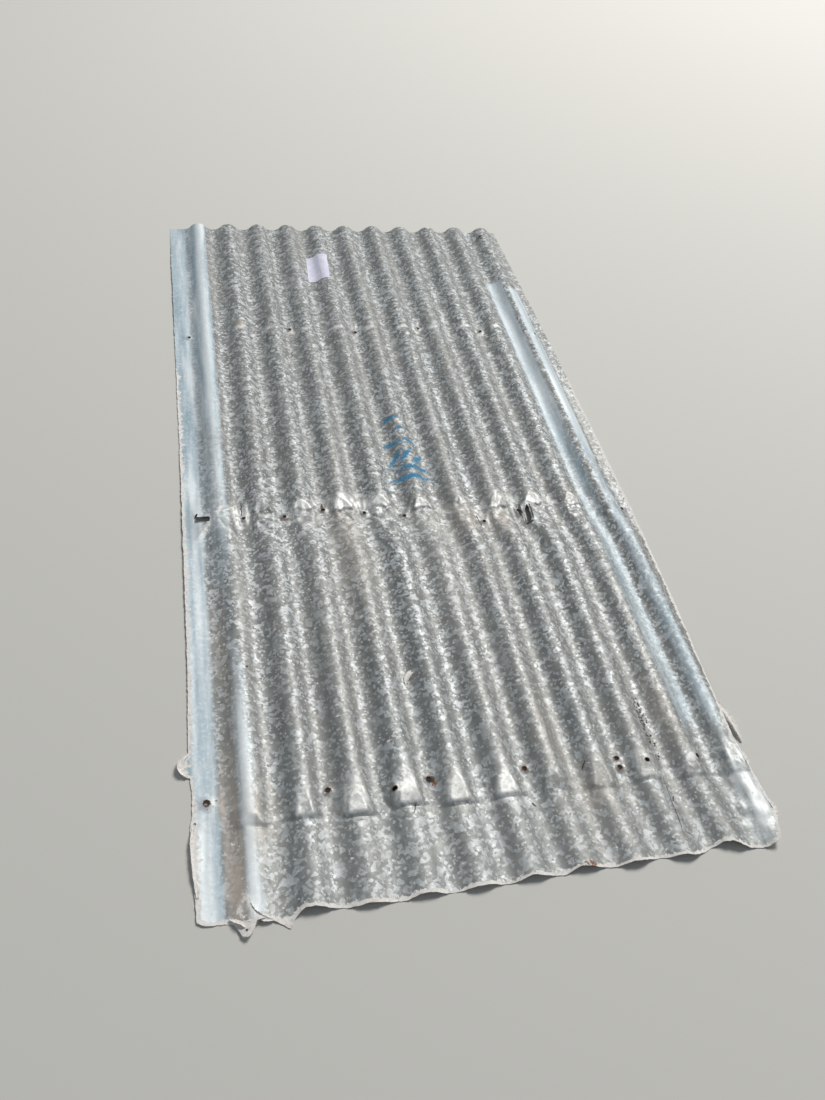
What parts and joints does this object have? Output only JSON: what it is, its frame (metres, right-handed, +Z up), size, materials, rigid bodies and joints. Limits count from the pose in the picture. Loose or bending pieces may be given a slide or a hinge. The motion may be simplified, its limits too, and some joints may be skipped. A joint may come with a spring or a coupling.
{
  "type": "corrugated metal sheet",
  "caption": "Weathered galvanised steel sheet rolled into round waves, with nail holes over the purlins, a bruised band across the middle and one end beaten flatter below a crease.",
  "frame": {"origin": "middle of the sheet's bounding box, on the plane that the undersides of the valleys rest on", "axes": "+X across the waves, +Y along them towards the square upper end, +Z up out of the sheet"},
  "size_m": [0.8881, 1.829, 0.0176],
  "materials": {
    "galvanised_steel": "spangled zinc coating, weathered dull grey, with cleaner strips at the side laps"
  },
  "bodies": {
    "root": {"corrugated_sheet": "galvanised_steel"}
  },
  "joints": []
}
